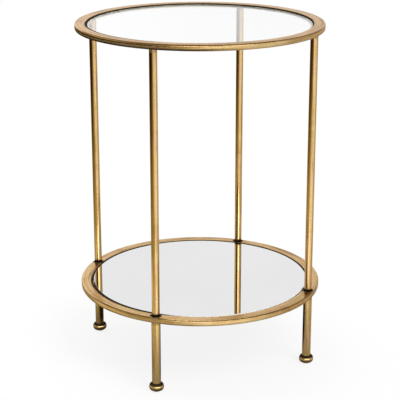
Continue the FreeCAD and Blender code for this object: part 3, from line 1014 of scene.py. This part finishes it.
# Apart from the camera's plain white, the sheet glows with its painted light, brighter than
# white, and so it also lights the table.
glow = add(tree, "ShaderNodeEmission", {
    "Color": blend(tree, seen_plain, painted_light_in_metal, WHITE),
    "Strength": fade(tree, seen_plain, 0.0, 1.0, GLOW_IN_METAL, 1.0)})
under = fade(tree, far, 0.22, 0.4, 0.0, 0.75)
plain_share = fade(tree, far, 0.45, 1.1, 0.85, 1.0)
mixed = add(tree, "ShaderNodeMixShader", {
    0: between(tree, seen_plain, under, plain_share), 1: shader.outputs["BSDF"],
    2: glow.outputs[0]})
fill(tree, tree.nodes["Material Output"], {"Surface": mixed.outputs[0]})

# %% [markdown]
# ## What the metal shows of the room
#
# The flat tops of the rings show the room's walls, which are grey with a darker ceiling.
# The legs above the shelf show them too, by way of the mirror. There the light has come
# off two shiny surfaces, and for it the front wall is painted harder: a bright window
# beside a dark doorway, which gives the thin light and dark lines along the legs. The
# mirror itself is the one perfectly sharp surface and would show such a room as a picture,
# so it gets a plain grey one.
# %% Choose the colours of the walls, by their angle from the front in degrees
LEFT_WALLS = [(-180, grey(0.46)), (-168, grey(0.56)), (-145, (0.45, 0.44, 0.42)),
              (-115, (0.28, 0.27, 0.26)), (-95, (0.26, 0.25, 0.23)), (-75, (0.26, 0.25, 0.23))]
RIGHT_WALLS = [(90, grey(0.26)), (110, grey(0.22)), (124, grey(0.08)), (140, grey(0.08)),
               (165, grey(0.42)), (180, grey(0.46))]
FRONT_SOFT = [(-66, (0.20, 0.19, 0.17)), (-59, (0.05, 0.04, 0.03)), (-44, (0.05, 0.04, 0.03)),
              (-28, (0.50, 0.50, 0.49)), (-14, grey(1.25)), (44, grey(1.25)),
              (58, (0.50, 0.51, 0.52))]
FRONT_HARD = [(-69, (0.20, 0.19, 0.17)), (-62, (0.02, 0.01, 0.00)), (-17, (0.02, 0.01, 0.00)),
              (-5, grey(0.70)), (4, grey(2.60)), (27, grey(2.60)), (39, grey(0.60)),
              (55, grey(0.32))]
CEILING = (0.10, 0.075, 0.045)
CEILING_FROM = 0.36
CEILING_FULL = 0.56
SECOND_BOUNCE = 1.5
PLAIN_ROOM = grey(0.46)
ROOM_LIGHT = 0.6
WALL_LIGHT = 2.0

# %% Paint the room
world = bpy.data.worlds.new("studio_room")
bpy.context.scene.world = world
world.use_nodes = True
tree = world.node_tree
way = add(tree, "ShaderNodeTexCoord").outputs["Generated"]
forward = vector_node(tree, "DOT_PRODUCT", way, FRONT)
round_room = math_node(tree, "ARCTAN2", vector_node(tree, "DOT_PRODUCT", way, RIGHT), forward)
soft, hard = (ramp(tree, round_room, [(math.radians(angle), colour)
                                      for angle, colour in LEFT_WALLS + front + RIGHT_WALLS])
              for front in (FRONT_SOFT, FRONT_HARD))
rays = add(tree, "ShaderNodeLightPath").outputs
again = math_node(tree, "GREATER_THAN", rays["Glossy Depth"], SECOND_BOUNCE)
rise = math_node(tree, "ADD", height_of(tree, way), times(tree, forward, 0.1))
room = blend(tree, fade(tree, rise, CEILING_FROM, CEILING_FULL),
             blend(tree, again, soft, hard), CEILING)
in_mirror = times(tree, rays["Is Singular Ray"], minus(tree, 1.0, again))
room = blend(tree, in_mirror, room, PLAIN_ROOM)
plain = math_node(tree, "MAXIMUM", rays["Is Camera Ray"], rays["Is Transmission Ray"])
in_gloss = minus(tree, rays["Is Glossy Ray"], plain)
level = between(tree, rays["Is Glossy Ray"], ROOM_LIGHT, WALL_LIGHT)
fill(tree, tree.nodes["Background"], {
    "Color": blend(tree, fade(tree, in_gloss, 0.0, 1.0), WHITE, room),
    "Strength": between(tree, plain, level, 1.0)})

# %% [markdown]
# ## The lamps
#
# Area lamps would do as soft boxes, but their light falls off with distance and their
# shapes show in the metal. A sun with a wide disc is as soft, even over the whole table,
# and here it is hidden from shiny surfaces. The two give a soft shadow and little more.
# %% Hang the lamps
for name, strength, softness, tilt, heading in (("key_lamp", 1.3, 30, 42, 60),
                                                ("fill_lamp", 0.7, 50, 35, -110)):
    lamp = bpy.data.lights.new(name, "SUN")
    lamp.energy = strength
    lamp.angle = math.radians(softness)
    holder = new_object(name, lamp)
    holder.rotation_euler = (math.radians(tilt), 0.0, math.radians(heading))
    holder.visible_glossy = False

bpy.context.scene.view_settings.view_transform = "Standard"
